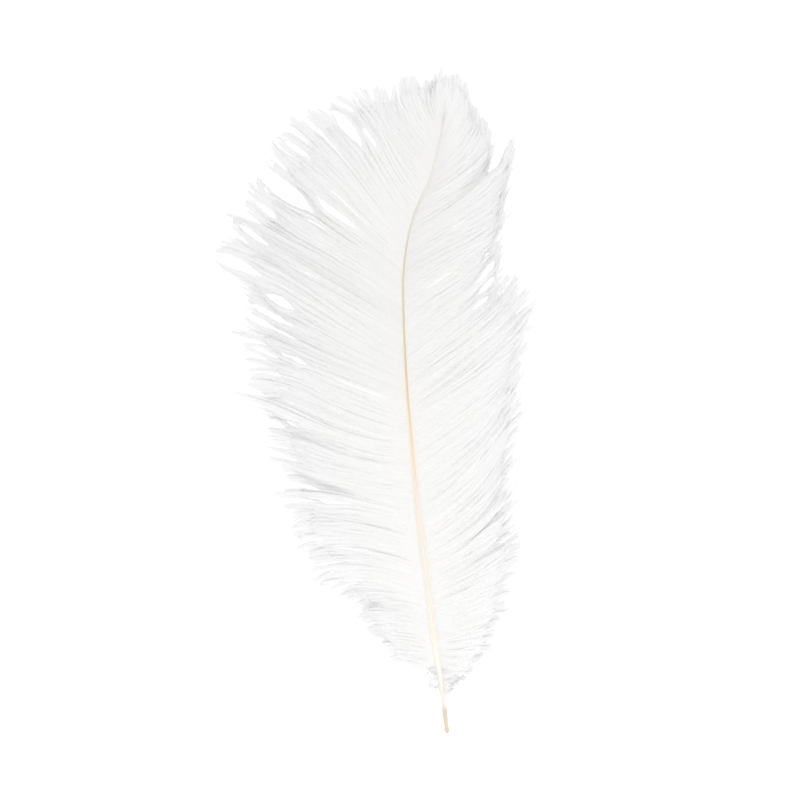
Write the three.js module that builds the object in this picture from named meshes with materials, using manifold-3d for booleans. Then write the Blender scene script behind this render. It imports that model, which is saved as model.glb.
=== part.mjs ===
// An ostrich plume that lies on a surface: a tapered, grooved shaft and, on both sides of it,
// vanes of pointed locks, all grown together as one piece.
// Millimetres, +Z up. The surface is z = 0, the quill points to -Y and the plume's tip to +Y.

import * as THREE from 'three';
import { mergeVertices } from 'three/addons/utils/BufferGeometryUtils.js';
import Module from 'manifold-3d';

const wasm = await Module();
wasm.setup();

// Shaft: its centre line from the end of the quill to the tip, as x, y and height.
const shaftPath = [
  [32.6, -147.6, 1.4], [31.3, -136.4, 2.6], [29, -120.6, 5.2], [26.3, -102.6, 8],
  [22.5, -71.1, 12], [19.1, -44.1, 14], [16.7, -17.1, 15], [14.4, 9.9, 15.2],
  [12.9, 45.9, 14.4], [13.7, 63.9, 13.5], [17.3, 81.9, 12.2], [24.8, 99.9, 10.4],
  [29.5, 117.9, 8], [33, 137, 5.2],
];
const shaftSides = 8;
const shaftSteps = 28;
// Half the shaft's width at a distance along it, which runs from 0 to 1.
const shaftHalfWidths = [
  [0, 1.1], [0.06, 1.4], [0.15, 1.7], [0.28, 1.8], [0.45, 1.5], [0.62, 1.2], [0.75, 0.85],
  [0.88, 0.6], [1, 0.3],
];
const grooveDepth = 0.35; // as a share of the shaft's half width
const grooveStart = 0.07;
const grooveEnd = 0.7;

// Knob that the quill ends in.
const knobRadius = 1.35;
const knobCentre = [32.9, -148.5, 1.3];

// Vanes: one lock a row, from the tip down to the quill, as the height up the shaft (y) where it
// leaves, the x and y of its point, and the way that it points, in degrees above straight out.
const leftLocks = [
  [127, 29.5, 151, 90], [121, 20.5, 146.5, 80], [114, 12, 147, 92], [104.5, 3.5, 143, 92],
  [93, -9, 140.5, 45], [85, -18.5, 135.5, 26], [77, -29, 130.5, 22], [72, -37, 129, 40],
  [67, -43, 119, 20], [62, -46, 116, 55], [57.5, -46, 107, 46], [53, -53, 101, 55],
  [49.5, -56.5, 98.5, 46], [45.5, -57, 90.5, 55], [41, -66, 84.5, 12], [37, -64.5, 81.5, 10],
  [32, -63.5, 78, 55], [27, -67.5, 72, 22], [21.5, -72, 68.5, 6], [16.5, -70, 64, 32],
  [11.5, -58, 48.5, 20], [7, -55.5, 41, 33], [2, -63, 33, 18], [-6, -57.5, 18.5, 2],
  [-14, -56.5, 9, 8], [-20.5, -63, 4, 22], [-25.5, -47, -8, 14], [-31, -49.5, -16, 2],
  [-38.5, -47, -25.5, 28], [-46, -37.5, -35, 4], [-51.5, -45, -41.5, 0], [-58, -37, -51.5, -18],
  [-64.5, -38.5, -58, -5], [-72, -34, -66, -25], [-80.5, -27.5, -80, -30], [-86.5, -23.5, -83.5, -42],
  [-91, -13.5, -88, -25], [-98, -7.5, -98, -30], [-106.5, -2, -104.5, -2], [-114, 5, -112, -4],
  [-120.5, 17.5, -121, -35],
];
const rightLocks = [
  [121, 37.5, 148.5, 92], [109, 43, 139, 92], [99, 47, 132, 95], [91.5, 51.5, 125, 93],
  [83, 54, 114, 84], [75, 63, 121, 74], [64, 61.5, 104, 80], [54.5, 59, 92, 78],
  [43, 58, 81, 72], [33, 55, 71.5, 65], [27, 59, 69.5, 62], [21.5, 56, 61, 62],
  [16, 62, 56, 44], [11, 65, 56, 60], [5, 69, 50.5, 55], [-1.5, 72, 44.5, 42],
  [-9, 70, 34.5, 60], [-17, 68.5, 25, 52], [-29, 67, 13, 55], [-37.5, 62.5, 5, 60],
  [-43.5, 66, 1, 50], [-52, 66.5, -9, 46], [-59.5, 61.5, -20, 58], [-64, 63.5, -27, 50],
  [-70, 65, -36, 75], [-73.5, 58.5, -39.5, 58], [-76.5, 65, -45, 42], [-80, 62, -55, 55],
  [-83.5, 72, -54, 36], [-87.5, 66.5, -64.5, 24], [-93, 63, -74, 28], [-99, 60.5, -85, 20],
  [-103.5, 60, -94, 14], [-108, 54.5, -103.5, 6], [-112.5, 52.5, -111.5, 2],
  [-117, 46, -119, -8], [-122.5, 40.5, -125.5, -14],
];
// The way that a lock leaves the shaft, in degrees above straight out, by the height of its root.
const leftLeave = [
  [-120, 12], [-108, 18], [-95, 25], [-80, 27], [-64, 23], [-54, 18], [-46, 11], [-38, 6],
  [-30, 3], [-24, 5], [-15, 10], [-5, 15], [8, 23], [20, 28], [45, 33], [60, 39], [80, 47],
  [100, 50], [115, 52], [122, 60], [131, 75],
];
const rightLeave = [
  [-125, -24], [-115, -10], [-108, 8], [-100, 20], [-85, 22], [-72, 26], [-50, 30], [-20, 33],
  [10, 36], [40, 36], [60, 32], [80, 28], [95, 28], [105, 32], [113, 46], [122, 62],
];

const lockSides = 4;
const lockSteps = 5;
const fullWidthPlace = 0.6; // where along a lock its full width is taken from the space
const rootOverlap = 0.3; // half widths, as shares of the space between the two neighbours
const fullOverlap = 0.35;
const leastHalfWidth = 1.6;
const mostHalfWidth = 5.2;
// A lock's thickness along its length.
const lockThicknesses = [[0, 1], [0.35, 1.8], [1, 0.8]];
const rootDrop = 0.35; // how far below the shaft's middle a lock leaves it
const lockLoft = 3.6; // how far a lock arches over the straight fall to the surface
const touchDown = 0.8; // the share of a lock's length after which it lies on the surface
const lyingHeight = 0.1; // the middle of a lock where it lies, so its underside is pressed flat
const tipLifts = [0, 1.6, 0, 3.2]; // heights that the points of successive locks curl up to
const leaveHandle = 0.42; // handles of a lock's curve, as shares of its length
const pointHandle = 0.3;
const leastTaper = 0.05; // a point's width, as a share of the lock's
const openedOut = 0.4; // the share of a lock's length after which it has its full width

const featherColour = 0xf3f2ee;

// The value at a place in a list of places and values, on the straight line between two of them.
function valueAt(list, place) {
  const next = list.findIndex(([start]) => start > place);
  if (next === 0) {
    return list[0][1];
  }
  if (next < 0) {
    return list[list.length - 1][1];
  }
  const [startA, valueA] = list[next - 1];
  const [startB, valueB] = list[next];
  return THREE.MathUtils.mapLinear(place, startA, startB, valueA, valueB);
}

// A closed bar whose rings follow a line: ringAt gives the middle, half width and half height
// at a distance from 0 to 1, and sectionAt may reshape a ring's point.
function sweepBar(sides, steps, ringAt, sectionAt = (across, up) => [across, up]) {
  const bar = new THREE.CylinderGeometry(1, 1, 1, sides, steps);
  const places = bar.attributes.position;
  for (let i = 0; i < places.count; i += 1) {
    const distance = places.getY(i) + 0.5;
    const ring = ringAt(distance);
    const [across, up] = sectionAt(places.getX(i), places.getZ(i), distance);
    const point = ring.middle.clone();
    point.addScaledVector(ring.across, across * ring.halfWidth);
    point.z += up * ring.halfHeight;
    places.setXYZ(i, point.x, point.y, point.z);
  }
  return bar;
}

// The level direction at right angles to a line's direction, to its right.
function acrossOf(direction) {
  return new THREE.Vector3(direction.y, -direction.x, 0).normalize();
}

// A three.js geometry as a solid that can be joined and cut.
function solidFrom(geometry) {
  const bare = geometry.clone();
  bare.deleteAttribute('normal');
  bare.deleteAttribute('uv');
  const merged = mergeVertices(bare, 1e-4);
  const mesh = new wasm.Mesh({
    numProp: 3,
    vertProperties: new Float32Array(merged.attributes.position.array),
    triVerts: new Uint32Array(merged.index.array),
  });
  return new wasm.Manifold(mesh);
}

const shaftCurve = new THREE.CatmullRomCurve3(shaftPath.map((point) => new THREE.Vector3(...point)));

// The point of the shaft's centre line at a height y.
const shaftSamples = shaftCurve.getSpacedPoints(200);
function shaftPointAt(y) {
  const next = Math.max(1, shaftSamples.findIndex((point) => point.y > y));
  const below = shaftSamples[next - 1];
  const above = shaftSamples[next];
  return below.clone().lerp(above, (y - below.y) / (above.y - below.y));
}

function makeShaft() {
  const ringAt = (distance) => {
    const halfWidth = valueAt(shaftHalfWidths, distance);
    return {
      middle: shaftCurve.getPointAt(distance),
      across: acrossOf(shaftCurve.getTangentAt(distance)),
      halfWidth,
      halfHeight: halfWidth,
    };
  };
  // The groove runs down the middle of the shaft's upper side.
  const sectionAt = (across, up, distance) => {
    const grooved = up > 0.99 && distance > grooveStart && distance < grooveEnd;
    return [across, grooved ? up - grooveDepth : up];
  };
  return sweepBar(shaftSides, shaftSteps, ringAt, sectionAt);
}

function makeKnob() {
  const knob = new THREE.SphereGeometry(knobRadius, shaftSides, 6);
  return knob.translate(...knobCentre);
}

// The plan curve of a lock, from its root inside the shaft to its point.
function lockPlan([rootY, pointX, pointY, pointing], side, leaveList) {
  const root = shaftPointAt(rootY);
  const start = new THREE.Vector2(root.x, root.y);
  const end = new THREE.Vector2(pointX, pointY);
  const length = start.distanceTo(end);
  const leave = THREE.MathUtils.degToRad(valueAt(leaveList, rootY));
  const point = THREE.MathUtils.degToRad(pointing);
  const leaveWay = new THREE.Vector2(side * Math.cos(leave), Math.sin(leave));
  const pointWay = new THREE.Vector2(side * Math.cos(point), Math.sin(point));
  return {
    rootHeight: root.z - rootDrop,
    curve: new THREE.CubicBezierCurve(
      start,
      start.clone().addScaledVector(leaveWay, length * leaveHandle),
      end.clone().addScaledVector(pointWay, -length * pointHandle),
      end,
    ),
  };
}

// How high the middle of a lock runs: it arches out from the shaft and comes down on the surface.
function lockHeight(rootHeight, tipLift, distance) {
  const fall = Math.min(1, distance / touchDown);
  const arch = (rootHeight - lyingHeight) * (1 - fall * fall) + lockLoft * Math.sin(Math.PI * fall);
  return lyingHeight + arch + tipLift * distance ** 6;
}

function makeLock(plan, rootHalfWidth, halfWidth, tipLift) {
  const ringAt = (distance) => {
    const middle = plan.curve.getPoint(distance);
    const tangent = plan.curve.getTangent(distance);
    const opening = Math.min(1, distance / openedOut);
    const spread = THREE.MathUtils.lerp(rootHalfWidth, halfWidth, opening);
    const taper = Math.max(leastTaper, 1 - distance ** 3);
    return {
      middle: new THREE.Vector3(middle.x, middle.y, lockHeight(plan.rootHeight, tipLift, distance)),
      across: acrossOf(tangent),
      halfWidth: spread * taper,
      halfHeight: valueAt(lockThicknesses, distance) / 2,
    };
  };
  return sweepBar(lockSides, lockSteps, ringAt);
}

// Half the width of a vane's i-th lock at a place along it, from the space between its neighbours,
// measured straight across the lock.
function halfWidthOf(plans, i, place, overlap) {
  const above = plans[Math.max(0, i - 1)].curve.getPoint(place);
  const below = plans[Math.min(plans.length - 1, i + 1)].curve.getPoint(place);
  const space = Math.abs(above.sub(below).cross(plans[i].curve.getTangent(place)));
  return THREE.MathUtils.clamp(space * overlap, leastHalfWidth, mostHalfWidth);
}

function makeVane(locks, side, leaveList) {
  const plans = locks.map((lock) => lockPlan(lock, side, leaveList));
  return plans.map((plan, i) => {
    const rootHalfWidth = halfWidthOf(plans, i, 0, rootOverlap);
    const halfWidth = halfWidthOf(plans, i, fullWidthPlace, fullOverlap);
    return makeLock(plan, rootHalfWidth, halfWidth, tipLifts[i % tipLifts.length]);
  });
}

// Everything above the surface.
function makeRoomAboveSurface() {
  const size = 400;
  return new THREE.BoxGeometry(size, size, size).translate(0, 0, size / 2);
}

// The one outer body of a joined solid, with any pocket shut in between crossing locks filled.
function outerBody(solid) {
  return solid.decompose().reduce((best, body) => (body.volume() > best.volume() ? body : best));
}

const pieces = [
  makeShaft(),
  makeKnob(),
  ...makeVane(leftLocks, -1, leftLeave),
  ...makeVane(rightLocks, 1, rightLeave),
];
const grown = wasm.Manifold.union(pieces.map(solidFrom));
const laid = outerBody(grown.intersect(solidFrom(makeRoomAboveSurface()))).getMesh();

const featherGeometry = new THREE.BufferGeometry();
featherGeometry.setAttribute('position', new THREE.BufferAttribute(laid.vertProperties, 3));
featherGeometry.setIndex(new THREE.BufferAttribute(laid.triVerts, 1));
featherGeometry.computeVertexNormals();

const featherMaterial = new THREE.MeshStandardMaterial({
  color: featherColour,
  roughness: 0.9,
  metalness: 0,
});
const feather = new THREE.Mesh(featherGeometry, featherMaterial);
feather.name = 'feather';

const model = new THREE.Group();
model.add(feather);

export default model;
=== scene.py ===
import math

import bmesh
import bpy
import numpy as np
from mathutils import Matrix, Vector


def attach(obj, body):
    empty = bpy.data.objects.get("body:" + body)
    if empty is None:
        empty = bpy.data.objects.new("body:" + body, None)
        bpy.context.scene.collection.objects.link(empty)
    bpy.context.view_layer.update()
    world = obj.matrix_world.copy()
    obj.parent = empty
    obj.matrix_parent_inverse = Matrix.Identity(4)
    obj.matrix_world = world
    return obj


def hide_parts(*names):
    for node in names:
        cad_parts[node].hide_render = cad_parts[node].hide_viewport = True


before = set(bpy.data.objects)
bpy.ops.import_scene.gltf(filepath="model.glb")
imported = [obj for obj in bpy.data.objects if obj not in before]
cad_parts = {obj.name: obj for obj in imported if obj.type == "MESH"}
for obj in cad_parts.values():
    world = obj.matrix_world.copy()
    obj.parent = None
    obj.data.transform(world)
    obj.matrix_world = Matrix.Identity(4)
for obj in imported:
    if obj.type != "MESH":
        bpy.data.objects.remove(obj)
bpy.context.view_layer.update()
mm = 0.001
rng = np.random.default_rng(20)

# The camera looks straight down on the feather.
camera = {
    "aim": (11.5, 0.9, 6),  # the point at the middle of the picture
    "distance": 850,
    "lens": 85,
    "sensor": 36,
}


def makeCamera():
    x, y, z = camera["aim"]
    lens = bpy.data.cameras.new("camera")
    lens.lens = camera["lens"]
    lens.sensor_width = camera["sensor"]
    lens.clip_start = 0.01
    placed = bpy.data.objects.new("camera", lens)
    placed.location = Vector((x, y, z + camera["distance"])) * mm
    bpy.context.collection.objects.link(placed)
    bpy.context.scene.camera = placed


makeCamera()
print("camera made")


# One socket of a material's nodes. Sums and products of it add Math nodes.
class Wire:
    def __init__(self, tree, socket=None):
        self.tree = tree
        self.socket = socket

    # Adds a node, sets it up and joins its sockets to wires or values. Colours have three values.
    def node(self, kind, settings=None, sockets=None, output=0):
        made = self.tree.nodes.new(kind)
        settings = dict(settings or {})
        stops = settings.pop("stops", None)
        for name, setting in settings.items():
            setattr(made, name, setting)
        if stops:
            ramp = made.color_ramp.elements
            while len(ramp) < len(stops):
                ramp.new(1)
            for element, (place, colour) in zip(ramp, stops):
                element.position = place
                element.color = (*colour, 1)
        for name, given in (sockets or {}).items():
            socket = made.inputs[name]
            if isinstance(given, Wire):
                self.tree.links.new(given.socket, socket)
            else:
                socket.default_value = (*given, 1) if socket.type == "RGBA" else given
        return Wire(self.tree, made.outputs[output] if made.outputs else None)

    def maths(self, operation, first, second):
        return self.node("ShaderNodeMath", {"operation": operation}, {0: first, 1: second})

    def __add__(self, other):
        return self.maths("ADD", self, other)

    def __sub__(self, other):
        return self.maths("SUBTRACT", self, other)

    def __rsub__(self, other):
        return self.maths("SUBTRACT", other, self)

    def __mul__(self, other):
        return self.maths("MULTIPLY", self, other)

    __radd__ = __add__
    __rmul__ = __mul__

    # 0 below the low value, 1 above the high one, and smooth between them.
    def step(self, low, high):
        return self.node(
            "ShaderNodeMapRange",
            {"interpolation_type": "SMOOTHSTEP"},
            {"Value": self, "From Min": low, "From Max": high},
        )

    # 1 at a place and 0 at a distance from it.
    def band(self, place, width):
        away = self.maths("ABSOLUTE", self - place, 0)
        return 1 - away.step(0, width)

    # This wire inside a span of another one, and 0 outside it.
    def within(self, other, span):
        return self * other.step(*span[:2]) * (1 - other.step(*span[2:]))

    # Colour a where this wire is 0, and b where it is 1.
    def blend(self, a, b, way="MIX"):
        return self.mix(self, a, b, way)

    # The product of two colours.
    def multiply(self, colour):
        return self.mix(1, self, colour, "MULTIPLY")

    def mix(self, factor, a, b, way):
        settings = {"data_type": "RGBA", "blend_type": way}
        return self.node("ShaderNodeMix", settings, {"Factor": factor, 6: a, 7: b}, output=2)


# A new material, with the place on its pieces' UV map: u around or from strand to strand, v along.
def startMaterial(name):
    material = bpy.data.materials.new(name)
    material.use_nodes = True
    material.node_tree.nodes.clear()
    tree = Wire(material.node_tree)
    place = tree.node("ShaderNodeUVMap", {"uv_map": "OFBake"})
    u = place.node("ShaderNodeSeparateXYZ", None, {0: place})
    v = Wire(u.tree, u.socket.node.outputs["Y"])
    return material, place, u, v


def endMaterial(surface):
    surface.node("ShaderNodeOutputMaterial", None, {"Surface": surface})


barbLook = {
    # colours along a barb, by the share of its length from the shaft
    "along": [
        (0, (0.98, 0.97, 0.95)),
        (0.14, (0.98, 0.976, 0.967)),
        (0.6, (0.984, 0.984, 0.985)),
        (1, (0.985, 0.985, 0.985)),
    ],
    "palestStrand": (1, 1, 1),
    # the greyest barbs are grey partly by random tone and partly by painted shade
    "darkestStrand": (0.935, 0.935, 0.935),
    "through": (0.99, 0.99, 0.985),  # colour of the light that comes through a barb
    "seeThrough": 0.2,  # and its share
    "roughness": 0.6,
}


def makeBarbMaterial():
    look = barbLook
    material, place, u, v = startMaterial("downyBarb")
    tint = v.node("ShaderNodeValToRGB", {"stops": look["along"]}, {"Fac": v})
    grain = place.node("ShaderNodeTexNoise", None, {"Vector": place, "Scale": 60, "Detail": 3})
    tone = (u * 0.8 + grain * 0.4).step(0.1, 1)
    colour = tint.multiply(tone.blend(look["darkestStrand"], look["palestStrand"]))
    sockets = {"Base Color": colour, "Roughness": grain * 0.2 + look["roughness"], "IOR": 1.45}
    shader = v.node("ShaderNodeBsdfPrincipled", None, sockets)
    through = v.node("ShaderNodeBsdfTranslucent", None, {"Color": look["through"]})
    mixed = {"Fac": look["seeThrough"], 1: shader, 2: through}
    endMaterial(v.node("ShaderNodeMixShader", None, mixed))
    return material


# Shaft: its middle line from the end of the quill to the tip, as x, y and height, and half its
# width at a distance from the end.
shaft = {
    "path": [
        (33.1, -149.7, 1.35), (32.6, -147.6, 1.4), (31.3, -136.4, 2.6), (29, -120.6, 5.2),
        (26.3, -102.6, 8), (22.5, -71.1, 12), (19.1, -44.1, 14), (16.7, -17.1, 15),
        (14.4, 9.9, 15.2), (12.9, 45.9, 14.4), (13.7, 63.9, 13.5), (17.3, 81.9, 12.2),
        (24.8, 99.9, 10.4), (29.5, 117.9, 8), (33, 137, 5.2),
    ],
    "halfWidths": [
        (0, 0.55), (0.25, 0.95), (0.7, 1.22), (1.3, 1.34), (2, 1.24), (2.8, 1.04), (4.2, 1.08),
        (19, 1.4), (45, 1.7), (82, 1.8), (132, 1.5), (182, 1.2), (220, 0.85), (258, 0.6),
        (294, 0.25),
    ],
    "ringPlaces": [0, 0.12, 0.25, 0.45, 0.7, 1, 1.3, 1.65, 2, 2.4, 2.8, 3.4, 4.2, 5.4],
    "ringSpace": 1.6,
    "sides": 28,
    "grooveDepth": 0.3,  # shares of the half width
    "grooveWidth": 0.3,
    "grooveFrom": 16,  # distances from the end of the quill
    "grooveTo": 230,
    "grooveFades": (30, 40),  # how far it takes to fade in and out
    "knobLift": 0.02,  # the middle line rises by this share in the knob at the quill's end
    "knobLength": 3,
    "holeWidth": 0.5,  # the opening in the quill's end
    "holeDepth": 0.5,
    "mapStart": (0.01, 0.03),  # where its part of the UV map starts
    "mapSize": (0.96, 0.95),
}


# A smooth line through points, with the given number of steps from each one to the next.
def smoothLine(points, steps):
    points = np.array(points, float)
    first = 2 * points[0] - points[1]
    last = 2 * points[-1] - points[-2]
    around = np.vstack([first, points, last])
    t = np.linspace(0, 1, steps, endpoint=False)[:, None]
    spans = []
    for a, b, c, d in zip(around, around[1:], around[2:], around[3:]):
        bend = 2 * a - 5 * b + 4 * c - d
        twist = 3 * b - a - 3 * c + d
        spans.append(b + 0.5 * ((c - a) * t + bend * t**2 + twist * t**3))
    return np.vstack([*spans, points[-1:]])


shaftLine = smoothLine(shaft["path"], 24)
shaftGone = np.append(0, np.cumsum(np.linalg.norm(np.diff(shaftLine, axis=0), axis=1)))
shaftLength = shaftGone[-1]


# Points of the shaft's middle line at distances from the quill's end.
def shaftAlong(gone):
    return np.stack([np.interp(gone, shaftGone, shaftLine[:, i]) for i in range(3)], -1)


def shaftHalfWidth(gone):
    places, widths = zip(*shaft["halfWidths"])
    return np.interp(gone, places, widths)


# The distance along the shaft of a height y.
def goneAt(y):
    return np.interp(y, shaftLine[:, 1], shaftGone)


# The depth of the groove at a distance from the quill's end.
def grooveAt(place):
    fadeIn, fadeOut = shaft["grooveFades"]
    fade = min(1, max(0, (place - shaft["grooveFrom"]) / fadeIn))
    return shaft["grooveDepth"] * fade * min(1, max(0, (shaft["grooveTo"] - place) / fadeOut))


# Moves a ring of the shaft to its place, with the groove on the upper side.
def placeRing(ring, place, aroundLayer, alongLayer):
    middle = Vector(shaftAlong(place))
    ahead = Vector(shaftAlong(min(place + 1, shaftLength)) - shaftAlong(max(place - 1, 0)))
    across = Vector((ahead.y, -ahead.x, 0)).normalized()
    upward = across.cross(ahead).normalized()
    if place < shaft["knobLength"]:
        middle.z += shaft["knobLift"] * (shaft["knobLength"] - place)
    half = float(shaftHalfWidth(place))
    for vert in ring:
        turn = vert[aroundLayer] * math.tau
        fromTop = math.cos(turn) / shaft["grooveWidth"]
        sunk = grooveAt(place) * math.exp(-fromTop * fromTop) * (math.sin(turn) > 0)
        out = across * math.cos(turn) + upward * (math.sin(turn) - sunk)
        vert.co = (middle + out * half) * mm
        vert[alongLayer] = place / shaftLength


# Sinks the middle of the quill's end face, and gives back the points of the sunk face.
def openQuill(bm, quillEnd):
    rim = float(shaftHalfWidth(0)) * (1 - shaft["holeWidth"]) * mm
    bmesh.ops.inset_region(bm, faces=[quillEnd], thickness=rim, depth=0)
    inward = Vector(shaftAlong(2) - shaftAlong(0)).normalized()
    pushed = bmesh.ops.extrude_face_region(bm, geom=[quillEnd])["geom"]
    sunk = [part for part in pushed if isinstance(part, bmesh.types.BMVert)]
    bmesh.ops.delete(bm, geom=[quillEnd], context="FACES_ONLY")
    bmesh.ops.translate(bm, verts=sunk, vec=inward * shaft["holeDepth"] * mm)
    return sunk


# Unrolls the shaft on the UV map. The seam's faces reach past the last turn.
def mapShaft(bm, aroundLayer, alongLayer):
    uvLayer = bm.loops.layers.uv.new("OFBake")
    (startU, startV), (sizeU, sizeV) = shaft["mapStart"], shaft["mapSize"]
    for face in bm.faces:
        face.smooth = True
        turns = [loop.vert[aroundLayer] for loop in face.loops]
        wraps = max(turns) - min(turns) > 0.5 and len(turns) < 5
        for loop, turn in zip(face.loops, turns):
            turn += 1 if wraps and turn < 0.5 else 0
            loop[uvLayer].uv = (turn * sizeU + startU, loop.vert[alongLayer] * sizeV + startV)


def makeShaft(material):
    rest = np.arange(shaft["ringPlaces"][-1], shaftLength, shaft["ringSpace"])[1:]
    bm = bmesh.new()
    aroundLayer = bm.verts.layers.float.new("around")
    alongLayer = bm.verts.layers.float.new("along")
    ring = bmesh.ops.create_circle(bm, segments=shaft["sides"], radius=1)["verts"]
    for vert in ring:
        vert[aroundLayer] = (math.atan2(vert.co.y, vert.co.x) / math.tau) % 1
    firstEdges = edges = list(bm.edges)
    for place in [*shaft["ringPlaces"], *rest, shaftLength]:
        if place:
            grown = bmesh.ops.extrude_edge_only(bm, edges=edges)["geom"]
            edges = [part for part in grown if isinstance(part, bmesh.types.BMEdge)]
            ring = [part for part in grown if isinstance(part, bmesh.types.BMVert)]
        placeRing(ring, place, aroundLayer, alongLayer)
    ends = bmesh.ops.holes_fill(bm, edges=edges + firstEdges, sides=0)["faces"]
    for vert in openQuill(bm, min(ends, key=lambda face: face.calc_center_median().y)):
        vert[alongLayer] = -0.02  # the opening is painted near-black there, as shade
    bmesh.ops.recalc_face_normals(bm, faces=bm.faces)
    mapShaft(bm, aroundLayer, alongLayer)
    mesh = bpy.data.meshes.new("shaft")
    bm.to_mesh(mesh)
    bm.free()
    addPiece("shaft", mesh, material)


# Places a finished mesh as a piece that stands for the solid feather.
def addPiece(name, mesh, material):
    mesh.materials.append(material)
    piece = bpy.data.objects.new(name, mesh)
    bpy.context.collection.objects.link(piece)
    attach(piece, "root")
    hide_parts("feather")
    print(name, "made,", len(mesh.polygons), "faces")


# Colours along the shaft, by the share of its length from the quill's end.
shaftLook = {
    "along": [
        (0, (0.68, 0.63, 0.5)),
        (0.012, (0.71, 0.65, 0.51)),
        (0.036, (0.66, 0.58, 0.47)),
        (0.046, (0.84, 0.79, 0.75)),
        (0.1, (0.89, 0.865, 0.82)),
        (0.27, (0.88, 0.85, 0.8)),
        (0.37, (0.88, 0.825, 0.75)),
        (0.46, (0.83, 0.73, 0.56)),
        (0.56, (0.7, 0.59, 0.44)),
        (0.66, (0.66, 0.59, 0.51)),
        (0.75, (0.65, 0.59, 0.54)),
        (0.81, (0.75, 0.73, 0.69)),
        (0.87, (0.83, 0.82, 0.79)),
    ],
    # painted shade: lighter sides round a groove that keeps the darker body colour, dark lines along
    # the lips of the groove, and a darker right edge; where they are round the shaft, in turns, and
    # where they fade in and out along it
    "sides": {
        "colour": (0.95, 0.92, 0.86),
        "strength": 0.85,
        "fade": (0.035, 0.11),
        "span": (0.3, 0.5, 0.76, 0.84),
    },
    "paintedGrooveShade": {
        "colour": (0.66, 0.53, 0.37),
        "strength": 0.9,
        "band": (0.055, 0.022),
        "span": (0.1, 0.2, 0.42, 0.52),
    },
    "paintedShadeRight": {
        "colour": (0.78, 0.7, 0.58),
        "strength": 0.8,
        "band": (0.055, 0.045),
        "span": (0.03, 0.06, 0.42, 0.52),
    },
    "holeShade": (0.16, 0.12, 0.09),  # painted shade, near-black, in the opening in the quill's end
    "fibre": (0.72, 0.62, 0.46),
    "fibreStrength": 0.22,
    "fibreScale": (90, 30, 1),
    "blotchScale": 26,
    "wander": 0.012,  # how far blotches shift the colours along the shaft
    "roughness": 0.38,
}


def makeShaftMaterial():
    look = shaftLook
    material, place, u, v = startMaterial("keratin")
    along = (v - shaft["mapStart"][1]) * (1 / shaft["mapSize"][1])
    around = (u - shaft["mapStart"][0]) * (1 / shaft["mapSize"][0])
    fibres = place.node("ShaderNodeMapping", None, {"Vector": place, "Scale": look["fibreScale"]})
    fibre = place.node("ShaderNodeTexNoise", None, {"Vector": fibres, "Scale": 1, "Detail": 4})
    blotches = {"Vector": place, "Scale": look["blotchScale"], "Detail": 3}
    blotch = place.node("ShaderNodeTexNoise", None, blotches)
    wander = along + (blotch - 0.5) * look["wander"]
    body = v.node("ShaderNodeValToRGB", {"stops": look["along"]}, {"Fac": wander})
    sides, paintedGrooveShade, paintedShadeRight = look["sides"], look["paintedGrooveShade"], look["paintedShadeRight"]
    offTop = around.maths("ABSOLUTE", around - 0.25, 0)
    # painted groove shade: the sides are made lighter, the groove keeps the darker colour and its lips
    # get dark lines
    besidePaintedGrooveShade = offTop.step(*sides["fade"]).within(along, sides["span"])
    sidesLightGrooveShaded = (besidePaintedGrooveShade * sides["strength"]).blend(body, sides["colour"])
    onPaintedGrooveShade = offTop.band(*paintedGrooveShade["band"]).within(along, paintedGrooveShade["span"])
    grooveShaded = (onPaintedGrooveShade * (fibre * paintedGrooveShade["strength"])).blend(sidesLightGrooveShaded, paintedGrooveShade["colour"])
    # painted shade: a darker band along the right side of the shaft
    onPaintedShadeRight = around.band(*paintedShadeRight["band"]).within(along, paintedShadeRight["span"])
    rightSideShaded = (onPaintedShadeRight * paintedShadeRight["strength"]).blend(grooveShaded, paintedShadeRight["colour"])
    # the sunk opening in the quill's end is painted near-black as shade
    holeShaded = (1 - along.step(-0.004, 0.004)).blend(rightSideShaded, look["holeShade"])
    streaked = (fibre * look["fibreStrength"]).blend(holeShaded, look["fibre"], "MULTIPLY")
    bump = v.node("ShaderNodeBump", None, {"Strength": 0.25, "Distance": 0.0002, "Height": fibre})
    roughness = blotch * 0.2 + look["roughness"]
    sockets = {"Base Color": streaked, "Roughness": roughness, "Normal": bump, "IOR": 1.5}
    endMaterial(v.node("ShaderNodeBsdfPrincipled", None, sockets))
    return material


barbMaterial = makeBarbMaterial()
makeShaft(makeShaftMaterial())

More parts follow.
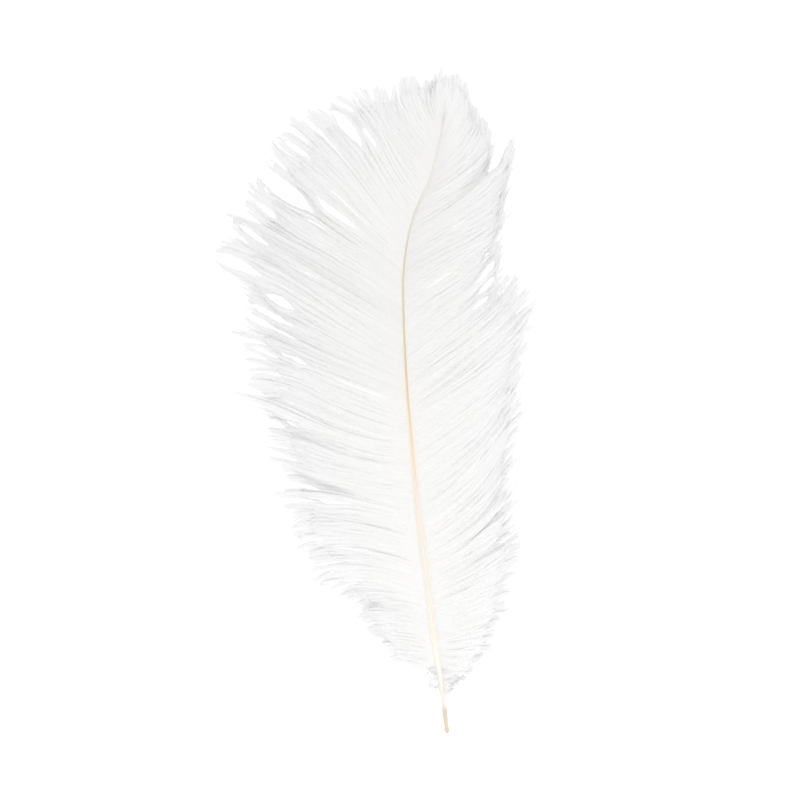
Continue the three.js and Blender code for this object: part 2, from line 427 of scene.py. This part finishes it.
# Locks of the vanes from the tip down to the quill: the height up the shaft where a lock leaves,
# the x and y of its point, and the way that the point heads, in degrees above straight out.
leftLocks = [
    (131, 32.5, 148.5, 88), (127, 29.5, 151, 90), (122.5, 25, 145, 75), (118, 16.5, 148, 88),
    (113, 12, 147, 92), (107.5, 9, 142, 95), (101, 0.5, 143, 92), (93, -9, 140.5, 45),
    (87, -18, 137, 25), (82.5, -19, 134, 27), (77, -29, 130.5, 22), (72, -37, 129, 40),
    (67, -43, 119, 20), (62, -46, 117, 60), (58.5, -46, 109, 50), (56, -46, 105.5, 42),
    (53, -53, 101, 55), (50.5, -56, 100, 50), (47.5, -56.5, 95, 45), (44, -58, 88.5, 36),
    (41, -66, 84.5, 20), (37.5, -64.5, 81, 18), (32, -63.5, 78, 42), (27, -67.5, 72, 22),
    (21.5, -72, 68.5, 6), (16.5, -70, 64, 32), (11.5, -58, 48.5, 20), (7.5, -55.5, 41, 33),
    (3, -63, 33, 18), (-1.5, -57.5, 26.5, 20), (-7, -57.5, 18.5, 2), (-12.5, -56, 11.5, 5),
    (-17, -56.5, 6.5, 10), (-21, -63, 4, 22), (-25.5, -47, -8, 14), (-30.5, -49.5, -16, 2),
    (-36, -45, -21, 23), (-41.5, -47, -26.5, 17), (-46.5, -37.5, -35, 4), (-50.5, -45, -41, 0),
    (-54.5, -41, -47, 0), (-59, -37, -51.5, -18), (-64.5, -38.5, -58, -5), (-71, -34, -66, -25),
    (-77, -29, -71, -15), (-82.5, -27.5, -80, -30), (-86.5, -23.5, -83.5, -42),
    (-90.5, -13.5, -88, -25), (-94.5, -6, -92, -12), (-99, -7.5, -98, -30), (-107, -2, -104.5, -2),
    (-113, 4.5, -110, -2), (-119, 7, -117, -8),
]
rightLocks = [
    (131, 34.5, 148, 88), (122, 37.5, 148.5, 92), (112, 42, 144, 92), (106, 43, 137, 92),
    (100, 46, 133, 95), (94, 50.5, 127.5, 95), (88.5, 53, 121.5, 92), (83, 54, 113.5, 82),
    (75, 63, 121, 74), (69, 63, 112.5, 80), (62, 60, 99.5, 80), (55, 59, 92, 78),
    (47, 58.5, 85, 72), (39.5, 57, 77.5, 68), (33, 55, 71.5, 65), (27, 59, 69.5, 62),
    (21.5, 56, 61, 62), (16, 62, 56, 44), (11, 65, 56, 60), (5, 69, 50.5, 55),
    (-1.5, 72, 44.5, 42), (-9, 70, 34.5, 60), (-17, 68.5, 25, 52), (-25, 64.5, 16.5, 62),
    (-32, 67, 13, 55), (-38, 62, 4.5, 62), (-43.5, 66, 1, 52), (-49, 67, -5, 48),
    (-54.5, 66, -11.5, 45), (-59.5, 61.5, -20, 60), (-63.5, 63.5, -26.5, 52), (-67, 59.5, -34, 60),
    (-70, 65, -36, 58), (-72.5, 60, -42.5, 54), (-75, 65, -45, 42), (-78, 62.5, -53, 52),
    (-81, 62, -59, 38), (-83.5, 66, -60.5, 36), (-87, 66.5, -64.5, 24), (-91, 65, -71, 30),
    (-95, 61.5, -79, 27), (-99, 60.5, -85, 20), (-103.5, 60, -94, 14), (-106.5, 56, -99, 10),
    (-109.5, 53.5, -107, 3), (-112.5, 52.5, -111.5, 2), (-115.5, 47, -116.5, -4),
    (-119, 44.5, -122, -10), (-122.5, 40.5, -125.5, -14),
]

vanes = {
    "left": {
        "side": -1,
        "locks": leftLocks,
        # the way that barbs leave the shaft, in degrees above straight out, by their root's height
        "leave": [
            (-120, 12), (-108, 18), (-95, 25), (-80, 27), (-64, 23), (-54, 18), (-46, 11), (-38, 6),
            (-30, 3), (-24, 5), (-15, 10), (-5, 15), (8, 23), (20, 28), (45, 33), (60, 39), (80, 47),
            (100, 50), (115, 52), (122, 60), (131, 75),
        ],
        # how pale barbs are, by their root's height; the greyer stretches are painted shade
        "paleWithPaintedShade": [
            (-120, 0.8), (-60, 0.9), (-20, 0.8), (0, 0.7), (25, 0.4), (50, 0.4), (80, 0.9),
            (130, 1),
        ],
        "pieces": [(140, 54), (54, -10), (-10, -130)],  # heights up the shaft that each piece covers
        "names": ["leftVaneTop", "leftVaneMiddle", "leftVaneBase"],
    },
    "right": {
        "side": 1,
        "locks": rightLocks,
        "leave": [
            (-125, -24), (-115, -10), (-108, 8), (-100, 20), (-85, 22), (-72, 26), (-50, 30),
            (-20, 33), (10, 36), (40, 36), (60, 32), (80, 28), (95, 28), (105, 32), (113, 46), (122, 66),
            (131, 80),
        ],
        "paleWithPaintedShade": [(-120, 0.6), (-90, 0.8), (-40, 0.97), (20, 0.7), (60, 0.4), (90, 0.75), (130, 1)],
        "pieces": [(140, 40), (40, -40), (-40, -130)],
        "names": ["rightVaneTop", "rightVaneMiddle", "rightVaneBase"],
    },
}

barbs = {
    "space": 0.8,  # from root to root along the shaft, at most
    "outerSpace": 0.85,  # and from barb to barb where a vane is broad, at most
    "beyond": (3, 4),  # how far barbs go on below the lowest lock and above the highest
    "rootPlaces": (0.25, 0.75),  # where in its own space a barb may start
    "rootOut": 0.6,  # how far out from the shaft's middle line and up, in half widths
    "rootUp": 0.35,
    "steps": 20,
    "leaveSpread": 1.5,  # degrees
    "leaveHandle": 0.42,  # handles of a barb's curve, as shares of its length
    "pointHandle": 0.3,
    "longest": 1.045,  # share of the way to its lock's point that a barb reaches
    "ragged": 0.1,  # and how much less than that it may be
    "innerPull": 0.06,  # how far barbs draw in to the middle of their lock, close to the shaft
    "tipPull": 0.12,  # and at the point
    "tipShare": 0.25,  # share of a lock's barbs, in its middle, that make up its point
    "partsAt": 0.6,  # share of the length after which locks part
    "clusters": (1, 3),  # neighbours that cling to each other at their ends
    "cling": 0.45,
    "wave": 0.5,
    "waves": (0.8, 2.4),  # along one barb
    "flare": 0.03,  # how far loose ends stray from the lock's point, as a share of the length
    "looseFrom": 0.72,
    "mound": 0.15,  # how far the middle of a lock stands above its edges
    "lockPuff": 0.08,  # how much locks and barbs differ in height
    "puff": 0.07,
    "layers": 0.3,  # height between the upper and the lower barbs
    "upperShare": 0.55,
    "loft": 3.6,  # how far a barb arches over the straight fall to the surface
    "loftReach": 45,  # barbs that reach out less than this arch less
    "touchDown": 0.8,  # share of the length after which it lies on the surface
    "lying": 0.7,
    "tipLift": 1.2,
    "fringe": 0.55,  # how far barbules reach into a parting
    "leastSpace": 0.45,  # barbs that stay closer than this to their points are thinned out
    "sink": 0.7,
    "lockTones": 0.08,  # how much locks and barbs differ in tone
    "barbTones": 0.12,
}

# Gaps between barbs, as the ends of each and its width.
partings = [
    (-18, 135.5, -7, 130.5, 1.4), (-16, 128.6, -4, 114.5, 4.4), (-5, 122, 3, 112.5, 0.9),
    (-39.5, 117.2, -27, 109, 1.8), (-49, 101.5, -26.2, 84.8, 6.2), (-50, 97, -46.5, 92.5, 0.9),
    (-23.3, 88.3, -7, 76.3, 2.3), (-50.5, 88.5, -45, 82.5, 1.8), (-60, 79.7, -45.8, 68.6, 1.9),
    (-70, 66.2, -52, 57.5, 4), (-46, 48.2, -35, 40.6, 3.2), (-54, 43, -37.5, 34.4, 2.4),
    (-56, 38, -46, 33.6, 1.8), (-46, 33.3, -30, 25.7, 0.9), (-53, 25, -42, 18, 1.1),
    (-42, 21.5, -38, 19.8, 0.8), (-35.8, 19.8, -30, 16, 1.6), (-46, 13.2, -41, 11.2, 0.8),
    (-57, 4.6, -48.5, 2.4, 1.1), (-39, -8, -34.5, -13, 0.9), (-38, -37.4, -26, -38, 0.8),
    (-23.5, -45.5, -9.5, -44.7, 1), (-33, -61.5, -21, -62.5, 0.8), (58, 119.5, 52.5, 101, 3.9),
    (50.6, 68.4, 49.3, 63, 0.9), (53.3, 63, 46.6, 52.7, 2.1), (53.8, 56, 45.8, 47.3, 1.9),
    (50.4, 46.5, 42.7, 40.7, 1.3),
]

barbules = {
    "space": 0.5,  # from pair to pair along a barb
    "lengths": [(0, 1), (0.06, 1.8), (0.5, 2.4), (0.8, 2.1), (0.92, 1.4), (1, 0.9)],
    "lengthSpread": (0.7, 1.15),
    "width": 0.3,
    "thickness": 0.09,
    "lean": (30, 50),  # degrees from the barb's own direction
    "tipLean": 0.45,  # how much less that is at the barb's point, as a share
    "tilt": 15,
    # half the width and height of the web of short barbules along the middle
    "webWidths": [(0, 0.6), (0.05, 0.9), (0.8, 1), (0.95, 0.85), (0.985, 0.55), (1, 0.1)],
    "webHeight": 0.16,
    "fullness": (0.85, 1.2),  # least and most that a web's width follows the space for it
    "crowdedFrom": 0.8,  # barbules are shorter and flatter where barbs are closer than this
    "calmest": 0.3,
    "turned": 5,  # degrees that all webs lie over to one side, like shingles
    "turnSpread": 2,
    "twist": 5,
    "mapSize": (0.96, 0.97),  # of their part of the UV map
}


def smoothStep(low, high, x):
    t = np.clip((x - low) / (high - low), 0, 1)
    return t * t * (3 - 2 * t)


def unit(vectors):
    return vectors / np.linalg.norm(vectors, axis=-1, keepdims=True)


# Plan curves from roots to points, at places t along them.
def planCurves(roots, points, leaving, heading, side, t):
    length = np.linalg.norm(points - roots, axis=1, keepdims=True)

    def way(degrees):
        angle = np.radians(degrees)
        return np.stack([side * np.cos(angle), np.sin(angle)], 1)

    a = roots[:, None]
    b = (roots + way(leaving) * length * barbs["leaveHandle"])[:, None]
    c = (points - way(heading) * length * barbs["pointHandle"])[:, None]
    d = points[:, None]
    t = t[..., None]
    return a * (1 - t) ** 3 + 3 * b * (1 - t) ** 2 * t + 3 * c * (1 - t) * t**2 + d * t**3


# Moves plan points aside from the line of each parting, so that a gap opens there. A barb stays on
# the side where it passes the middle of the line.
def openPartings(plan):
    for x0, y0, x1, y1, width in partings:
        start = np.array([x0, y0])
        line = np.array([x1 - x0, y1 - y0])
        length = np.linalg.norm(line)
        line = line / length
        aside = np.array([line[1], -line[0]])
        along = (plan - start) @ line / length
        off = (plan - start) @ aside
        nearest = np.argmin(np.abs(along - 0.5), axis=1)[:, None]
        hand = np.sign(np.take_along_axis(off, nearest, 1))
        room = width / 2 + barbs["fringe"]
        soft = room * 0.8
        own = off * hand
        push = soft * np.logaddexp(own / soft, room / soft) - own  # less, away from the line
        push = push * (1 - smoothStep(room * 2, room * 7, np.abs(off)))
        push = push * smoothStep(-0.3, 0.15, along) * (1 - smoothStep(0.5, 1.15, along))
        plan = plan + (push * hand)[..., None] * aside
    return plan


# The distance straight across from barb to barb, as a mean over a few neighbours.
def spacesAcross(plan, few=3):
    index = np.arange(len(plan))
    low, high = np.maximum(index - few, 0), np.minimum(index + few, len(plan) - 1)
    apart = plan[high] - plan[low]
    ahead = unit(np.gradient(plan, axis=1))
    across = np.abs(apart[..., 0] * ahead[..., 1] - apart[..., 1] * ahead[..., 0])
    return across / (high - low)[:, None]


# Ends the barbs of high rank early, where they crowd each other all the way to the point. A quarter
# of each stays.
def thinOut(curves, room, rank):
    rings = curves.shape[1]
    crowded = np.maximum.accumulate(room[:, ::-1], axis=1)[:, ::-1] < rank
    ends = np.where(crowded.any(1), crowded.argmax(1), rings - 1).clip((rings - 1) // 4)
    place = ends[:, None] * np.linspace(0, 1, rings)
    step = np.minimum(place.astype(int), rings - 2)
    share = (place - step)[..., None]
    row = np.arange(len(curves))[:, None]
    return curves[row, step] * (1 - share) + curves[row, step + 1] * share


# Places on one side of the shaft at given y, raised by a share of its half width.
def besideShaft(y, side, up):
    gone = goneAt(y)
    places = shaftAlong(gone)
    places[:, 0] += side * shaftHalfWidth(gone) * barbs["rootOut"]
    places[:, 2] += shaftHalfWidth(gone) * up
    return places


# As many barbs to a lock as its root and its broadest place need.
def barbsNeeded(locks, lockRoots, lockLeaving, side, ends):
    broad = np.tile([0.8, 0.85, 0.9], (len(locks), 1))
    outer = planCurves(lockRoots, locks[:, 1:3], lockLeaving, locks[:, 3], side, broad)
    outerWay = unit(outer[:, 2] - outer[:, 0])
    steps = np.gradient(outer[:, 1], axis=0)
    gaps = np.abs(steps[:, 0] * outerWay[:, 1] - steps[:, 1] * outerWay[:, 0])  # straight across
    needed = np.maximum(np.diff(ends) / barbs["space"], gaps / barbs["outerSpace"])
    return np.ceil(needed).astype(int)


# Lets barbs wave, stray at their ends and cling to their neighbours, less in the middle of a lock.
def loosen(plan, t, length, middle):
    count = len(plan)
    ahead = unit(np.gradient(plan, axis=1))
    sideways = np.stack([ahead[..., 1], -ahead[..., 0]], -1)
    waves = rng.uniform(*barbs["waves"], (count, 1))
    phase = rng.uniform(0, math.tau, (count, 1))
    waving = barbs["wave"] * smoothStep(0, 0.7, t) * np.sin(math.tau * waves * t + phase)
    loose = np.clip((t - barbs["looseFrom"]) / (1 - barbs["looseFrom"]), 0, 1) ** 2
    stray = rng.normal(0, barbs["flare"], (count, 1)) * length * loose
    plan = plan + (waving + stray * (1 - 0.8 * middle))[..., None] * sideways
    cluster = np.cumsum(rng.uniform(0, 1, count) < 2 / sum(barbs["clusters"]))
    sums = np.zeros((cluster[-1] + 1, *plan.shape[1:]))
    np.add.at(sums, cluster, plan)
    means = (sums / np.bincount(cluster, minlength=len(sums)).clip(1)[:, None, None])[cluster]
    cling = barbs["cling"] * (1 - middle) * smoothStep(0.7, 1, t)
    return plan + cling[..., None] * (means - plan)


# Heights of barbs that arch over and come down on the surface, in two layers.
def archOver(t, rootHeights, outward, own, off, spaces):
    count, lockCount = len(own), own[-1] + 1
    fall = np.minimum(1, t / barbs["touchDown"])
    drop = (rootHeights - barbs["lying"]) * (1 - fall * fall)
    lift = barbs["tipLift"] * rng.uniform(0, 1, lockCount)[own, None] * t**6
    body = smoothStep(0, 0.14, t)
    onTop = rng.uniform(0, 1, count) < barbs["upperShare"]
    layer = np.where(onTop, 1, -1)[:, None] * barbs["layers"] / 2 * smoothStep(0.05, 0.3, t)
    layer = layer + body * rng.normal(0, barbs["puff"], (count, 1))
    mound = rng.normal(0, barbs["lockPuff"], lockCount)[own, None] * np.sin(math.pi * fall)
    mound = mound + body * barbs["mound"] * (0.6 - off[:, None] ** 2)
    aside = np.clip(outward / barbs["loftReach"], 0.15, 1)
    height = barbs["lying"] + drop + barbs["loft"] * aside * np.sin(math.pi * fall) + lift
    return height + mound + layer * np.clip(spaces / barbs["space"], 0.2, 1)


# The curves of one vane's barbs, as (barb, step, x y z and space), their tones and root heights.
def growVane(vane):
    side = vane["side"]
    locks = np.array(vane["locks"], float)[::-1]
    lockYs = locks[:, 0]
    lockRoots = besideShaft(lockYs, side, barbs["rootUp"])[:, :2]
    leaveYs, leaveAngles = zip(*vane["leave"])
    lockLeaving = np.interp(lockYs, leaveYs, leaveAngles)
    first, last = lockYs[0] - barbs["beyond"][0], lockYs[-1] + barbs["beyond"][1]
    ends = np.concatenate([[first], (lockYs[1:] + lockYs[:-1]) / 2, [last]])
    needed = barbsNeeded(locks, lockRoots, lockLeaving, side, ends)

    own = np.repeat(np.arange(len(locks)), needed)  # the lock of each barb
    count = len(own)
    order = np.arange(count) - np.repeat(np.cumsum(needed) - needed, needed)
    share = (order + rng.uniform(*barbs["rootPlaces"], count)) / needed[own]
    lower, upper, lockMiddle = ends[own], ends[own + 1], lockYs[own]
    rootYs = lower + share * (upper - lower)
    # off is 0 in the middle of a lock and 1 at its edges
    off = np.where(
        rootYs > lockMiddle,
        (rootYs - lockMiddle) / (upper - lockMiddle),
        (lockMiddle - rootYs) / (lockMiddle - lower),
    )
    middle = np.exp(-((off / barbs["tipShare"]) ** 2))[:, None]

    roots = besideShaft(rootYs, side, barbs["rootUp"])
    leaving = np.interp(rootYs, leaveYs, leaveAngles) + rng.normal(0, barbs["leaveSpread"], count)
    freePoints = np.stack([np.interp(rootYs, lockYs, locks[:, i]) for i in (1, 2)], 1)
    freeHeading = np.interp(rootYs, lockYs, locks[:, 3])
    ragged = barbs["ragged"] * (0.8 * off**1.4 + 0.2) * rng.uniform(0, 1, count)
    t = np.linspace(0, 1, barbs["steps"] + 1)[None] * (barbs["longest"] - ragged)[:, None]
    free = planCurves(roots[:, :2], freePoints, leaving, freeHeading, side, t)
    guides = planCurves(lockRoots[own], locks[own, 1:3], lockLeaving[own], locks[own, 3], side, t)
    atPoint = barbs["tipPull"] + (1 - barbs["tipPull"]) * middle - barbs["innerPull"]
    pull = barbs["innerPull"] * smoothStep(0.02, 0.3, t)
    pull = pull + atPoint * smoothStep(barbs["partsAt"], 1, t)
    plan = free + pull[..., None] * (guides - free)
    length = np.linalg.norm(freePoints - roots[:, :2], axis=1, keepdims=True)
    plan = openPartings(loosen(plan, t, length, middle))

    spaces = spacesAcross(plan)
    outward = np.abs(freePoints[:, :1] - roots[:, :1])
    height = archOver(t, roots[:, 2:], outward, own, off, spaces)
    # tones carry the painted shade of the greyer stretches of each vane, and random tone
    tones = np.interp(rootYs, *zip(*vane["paleWithPaintedShade"]))
    tones = tones + rng.normal(0, barbs["lockTones"], len(locks))[own]
    tones = tones + rng.normal(0, barbs["barbTones"], count)
    # where barbs crowd, those of high rank lie under the rest: the step makes neighbours differ
    rank = (np.arange(count) * 0.618 % 1 * np.clip(off * 2, 0, 1))[:, None]
    room = spaces / barbs["leastSpace"]
    height = height - barbs["sink"] * np.clip(rank - room, 0, 1)
    curves = np.concatenate([plan, height[..., None], spaces[..., None]], 2)
    return thinOut(curves, room, rank), np.clip(tones, 0, 1), rootYs


# Keeps heights above the surface, without pressing anything quite flat.
def above(points, least=0.12, soft=0.7):
    z = points[..., 2]
    points[..., 2] = np.where(z < soft, least + (soft - least) * np.exp((z - soft) / (soft - least)), z)
    return points


# A narrow web along each barb: its points, faces and places on the UV map.
def makeWebs(paths, spaces, across, up, tones, sizes):
    count, rings = paths.shape[:2]
    along = np.linspace(0, 1, rings)
    hand = np.where(paths[:, -1:, 0] < paths[:, :1, 0], 1, -1)
    turn = rng.normal(sizes["turned"], sizes["turnSpread"], (count, 1)) * hand
    turn = turn + rng.normal(0, sizes["twist"], (count, 1)) * along
    turn = np.radians(turn)[..., None]
    half = np.interp(along, *zip(*sizes["webWidths"]))[:, None]
    wide = (across * np.cos(turn) + up * np.sin(turn)) * half
    wide = wide * np.clip(spaces, *sizes["fullness"])[..., None]
    high = (up * np.cos(turn) - across * np.sin(turn)) * half * sizes["webHeight"]
    points = above(np.stack([paths + wide, paths + high, paths - wide, paths - high], 2))
    index = np.arange(count * rings * 4).reshape(count, rings, 4)
    here, there = index[:, :-1], index[:, 1:]
    nextHere, nextThere = np.roll(here, -1, 2), np.roll(there, -1, 2)
    faces = [
        np.stack([here, there, nextThere], -1).reshape(-1, 3),
        np.stack([here, nextThere, nextHere], -1).reshape(-1, 3),
        index[:, 0, [0, 1, 2]],
        index[:, 0, [0, 2, 3]],
        index[:, -1, [2, 1, 0]],
        index[:, -1, [3, 2, 0]],
    ]
    sizeU, sizeV = sizes["mapSize"]
    u = tones[:, None, None] * sizeU + np.array([0, 0.01, 0.02, 0.01])
    v = along[None, :, None] * sizeV
    places = np.stack(np.broadcast_arrays(u, v), -1)
    return points.reshape(-1, 3), np.concatenate(faces), places.reshape(-1, 2)


# Pointed barbules on both sides of each barb, in the same form.
def makeBarbules(paths, spaces, across, up, tones, sizes):
    count, rings = paths.shape[:2]
    lengths = np.linalg.norm(np.diff(paths, axis=1), axis=2).sum(1)
    pairs = np.maximum(2, (lengths / sizes["space"]).astype(int))
    barb = np.repeat(np.arange(count), pairs)
    order = np.arange(len(barb)) - np.repeat(np.cumsum(pairs) - pairs, pairs)
    barb, order = np.tile(barb, 2), np.tile(order, 2)
    hand = np.repeat([-1.0, 1.0], len(barb) // 2)
    total = len(barb)
    place = np.clip((order + rng.uniform(0.1, 0.9, total)) / pairs[barb], 0.012, 0.999)
    step = np.minimum((place * (rings - 1)).astype(int), rings - 2)
    share = (place * (rings - 1) - step)[:, None]
    base = paths[barb, step] * (1 - share) + paths[barb, step + 1] * share
    forward = unit(paths[barb, step + 1] - paths[barb, step])
    lean = np.radians(rng.uniform(*sizes["lean"], total))
    lean = lean * (1 - sizes["tipLean"] * smoothStep(0.8, 1, place))
    calm = np.clip(spaces[barb, step] / sizes["crowdedFrom"], sizes["calmest"], 1)
    tilt = np.radians(rng.normal(0, sizes["tilt"], total)) * calm
    out = across[barb, step] * hand[:, None]
    sideways = out * np.cos(tilt)[:, None] + up[barb, step] * np.sin(tilt)[:, None]
    way = forward * np.cos(lean)[:, None] + sideways * np.sin(lean)[:, None]
    length = np.interp(place, *zip(*sizes["lengths"])) * rng.uniform(*sizes["lengthSpread"], total)
    end = base + way * (length * calm**0.5)[:, None]
    half = forward * (sizes["width"] / 2)
    thick = unit(np.cross(way, forward)) * sizes["thickness"]
    points = above(np.stack([base - half, base + half, base + thick, end], 1))
    corners = np.array([[0, 1, 3], [1, 2, 3], [2, 0, 3], [1, 0, 2]])
    faces = np.arange(total)[:, None, None] * 4 + corners
    # where the thick side is on the other hand, faces are turned, so that all face outwards
    edge1, edge2, edge3 = (points[:, i] - points[:, 0] for i in (1, 2, 3))
    turned = np.einsum("ij,ij->i", np.cross(edge1, edge2), edge3) < 0
    faces = np.where(turned[:, None, None], faces[:, :, ::-1], faces)
    shift = np.array([[0, 0], [0, 0.012], [0.012, 0], [0.012, 0.012]])
    sizeU, sizeV = sizes["mapSize"]
    places = np.stack([tones[barb] * sizeU, place * sizeV], -1)[:, None] + shift
    return points.reshape(-1, 3), faces.reshape(-1, 3), places.reshape(-1, 2)


# A piece of barbs along curves: a web each, fringed with barbules.
def meshBarbs(name, curves, tones, sizes):
    paths, spaces = above(curves[..., :3]), curves[..., 3]
    ahead = unit(np.gradient(paths, axis=1))
    across = unit(np.stack([ahead[..., 1], -ahead[..., 0], np.zeros(spaces.shape)], -1))
    grown = paths, spaces, across, np.cross(across, ahead), tones, sizes
    webs, webFaces, webPlaces = makeWebs(*grown)
    fringe, fringeFaces, fringePlaces = makeBarbules(*grown)
    mesh = bpy.data.meshes.new(name)
    faces = np.concatenate([webFaces, fringeFaces + len(webs)])
    mesh.from_pydata(np.concatenate([webs, fringe]) * mm, [], faces)
    places = np.concatenate([webPlaces, fringePlaces])
    uvLayer = mesh.uv_layers.new(name="OFBake")
    corner = np.empty(len(mesh.loops), int)
    mesh.loops.foreach_get("vertex_index", corner)
    uvLayer.data.foreach_set("uv", places[corner].astype(np.float32).ravel())
    addPiece(name, mesh, barbMaterial)


for vane in vanes.values():
    paths, tones, rootYs = growVane(vane)
    for name, (upper, lower) in zip(vane["names"], vane["pieces"]):
        chosen = (rootYs <= upper) & (rootYs > lower)
        meshBarbs(name, paths[chosen], tones[chosen], barbules)

# Down that curls round the shaft where the vanes begin.
down = {
    "count": 46,
    "from": -132.5,
    "to": -120,
    "lengths": (6, 15),
    "steps": 18,
    "leave": (-30, 50),  # degrees above straight out
    "curls": (0.15, 0.6),  # turns
    "lying": 1,
    "arch": (0, 3),
    "tones": (0.85, 1),
    "sizes": {
        **barbules,
        "lengths": [(0, 0.8), (0.5, 1.5), (1, 0.7)],
        "webWidths": [(0, 0.15), (1, 0.07)],
        "lean": (45, 70),
        "width": 0.25,
        "space": 0.34,
    },
}


# Curves in the same form as a vane's, and their tones.
def growDown():
    count = down["count"]
    side = np.repeat([-1, 1], count // 2)
    roots = besideShaft(rng.uniform(down["from"], down["to"], count), side, 0)
    s = np.linspace(0, 1, down["steps"] + 1)[None]
    step = rng.uniform(*down["lengths"], (count, 1)) / down["steps"]
    turn = rng.choice([-1, 1], (count, 1)) * rng.uniform(*down["curls"], (count, 1)) * math.tau
    angle = rng.uniform(*down["leave"], (count, 1)) * math.pi / 180 + turn * s**1.6
    x = np.cumsum(np.cos(angle) * step, 1) * side[:, None]
    y = np.cumsum(np.sin(angle) * step, 1)
    z = roots[:, 2:] * (1 - smoothStep(0, 1, s)) + down["lying"]
    z = z + rng.uniform(*down["arch"], (count, 1)) * np.sin(math.pi * s)
    x, y = roots[:, :1] + x - x[:, :1], roots[:, 1:2] + y - y[:, :1]
    return np.stack([x, y, z, np.ones(z.shape)], -1), rng.uniform(*down["tones"], count)


meshBarbs("quillDown", *growDown(), down["sizes"])

# Table and light: plain and pale. Lengths are metres here.
studio = {
    "floorSize": 8,
    "floorDepth": 0.0002,  # below the feather
    "floorColour": (0.95, 0.95, 0.95),
    "floorRoughness": 0.9,
    "floorShine": 0.1,
    "floorGlow": 0.55,  # it is lit from below as well
    "sky": 1.044,
    "keyPlace": (0.25, -0.65, 0.7),
    "keySize": 0.5,
    "keyPower": 1.5,
}


def makeStudio():
    bm = bmesh.new()
    bmesh.ops.create_grid(bm, x_segments=8, y_segments=8, size=studio["floorSize"] / 2)
    bmesh.ops.translate(bm, verts=bm.verts, vec=(0, 0, -studio["floorDepth"]))
    mesh = bpy.data.meshes.new("floor")
    bm.to_mesh(mesh)
    bm.free()
    material = bpy.data.materials.new("floor")
    material.use_nodes = True
    shader = material.node_tree.nodes["Principled BSDF"].inputs
    shader["Base Color"].default_value = (*studio["floorColour"], 1)
    shader["Roughness"].default_value = studio["floorRoughness"]
    shader["Specular IOR Level"].default_value = studio["floorShine"]
    shader["Emission Color"].default_value = (1, 1, 1, 1)
    shader["Emission Strength"].default_value = studio["floorGlow"]
    mesh.materials.append(material)
    floor = bpy.data.objects.new("floor", mesh)
    bpy.context.collection.objects.link(floor)

    world = bpy.data.worlds.new("studio")
    world.use_nodes = True
    sky = world.node_tree.nodes["Background"].inputs
    sky["Color"].default_value = (1, 1, 1, 1)
    sky["Strength"].default_value = studio["sky"]
    bpy.context.scene.world = world

    light = bpy.data.lights.new("key", "AREA")
    light.size = studio["keySize"]
    light.energy = studio["keyPower"]
    key = bpy.data.objects.new("key", light)
    key.location = studio["keyPlace"]
    key.rotation_euler = (-Vector(studio["keyPlace"])).to_track_quat("-Z", "Y").to_euler()
    bpy.context.collection.objects.link(key)


makeStudio()
bpy.context.scene.view_settings.view_transform = "Standard"
print("studio made")
